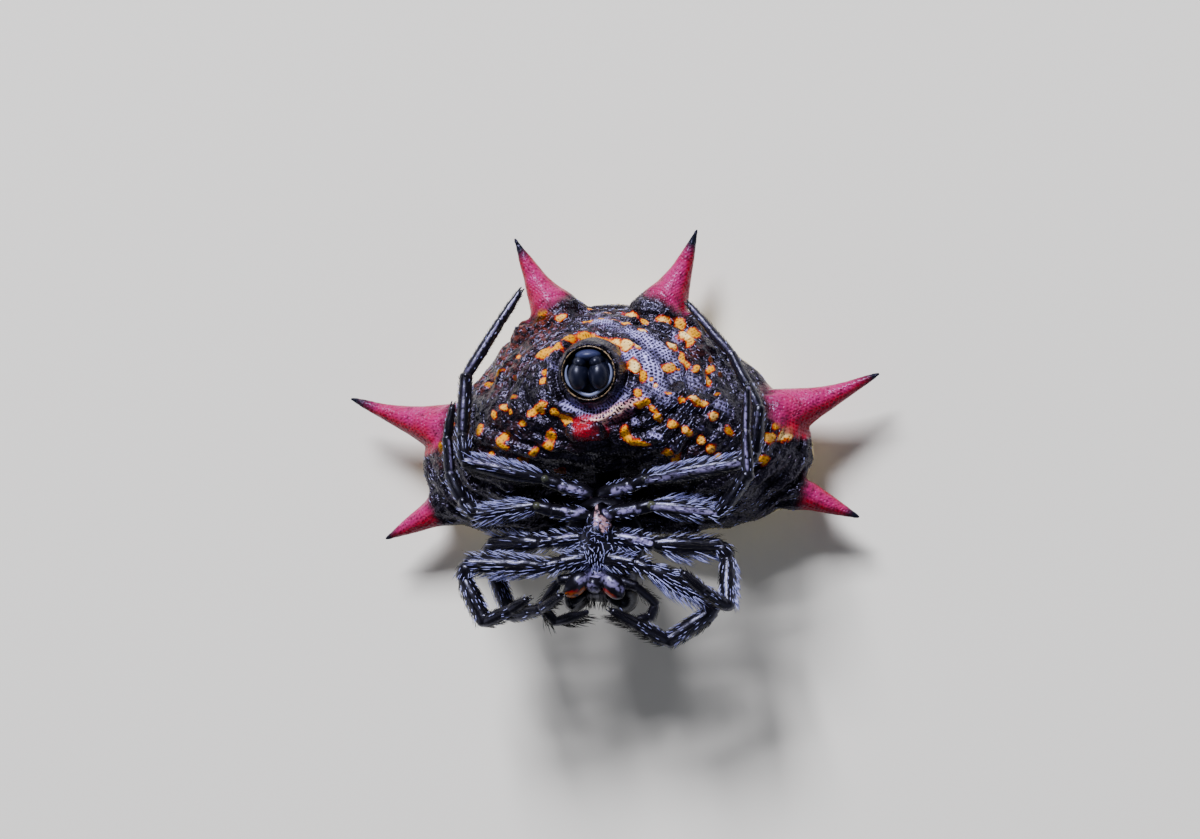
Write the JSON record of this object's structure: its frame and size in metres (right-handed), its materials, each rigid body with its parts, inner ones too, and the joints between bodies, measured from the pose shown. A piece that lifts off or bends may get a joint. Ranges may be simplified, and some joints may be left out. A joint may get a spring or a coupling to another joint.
{
  "type": "spiny orb weaver",
  "caption": "Female spiny orb weaver spider lying on its back, belly up, with a spined shield and folded legs, as a still life-size display model.",
  "frame": {"origin": "middle of the flat on the back of the shield, on which the spider rests, at floor level", "axes": "+Z out of the belly, away from the floor; +X across the body; +Y towards the rear"},
  "size_m": [0.013, 0.01, 0.0043],
  "materials": {
    "abdomen_shell": "satin, granular cuticle, black-brown with orange spots and crimson spines",
    "leg_cuticle": "satin black cuticle under pale and black hairs",
    "black_gloss": "gloss black cuticle",
    "eye_lens": "polished lens"
  },
  "bodies": {
    "root": {"abdomen": "abdomen_shell", "spinnerets": "black_gloss", "cephalothorax": "leg_cuticle", "chelicera_left": "black_gloss", "chelicera_right": "black_gloss", "palp_left": "leg_cuticle", "palp_right": "leg_cuticle", "leg_1_left": "leg_cuticle", "leg_1_right": "leg_cuticle", "leg_2_left": "leg_cuticle", "leg_2_right": "leg_cuticle", "leg_3_left": "leg_cuticle", "leg_3_right": "leg_cuticle", "leg_4_left": "leg_cuticle", "leg_4_right": "leg_cuticle", "eye_front_middle_left": "eye_lens", "eye_front_middle_right": "eye_lens", "eye_rear_middle_left": "eye_lens", "eye_rear_middle_right": "eye_lens", "eye_front_side_left": "eye_lens", "eye_front_side_right": "eye_lens", "eye_rear_side_left": "eye_lens", "eye_rear_side_right": "eye_lens"}
  },
  "joints": []
}
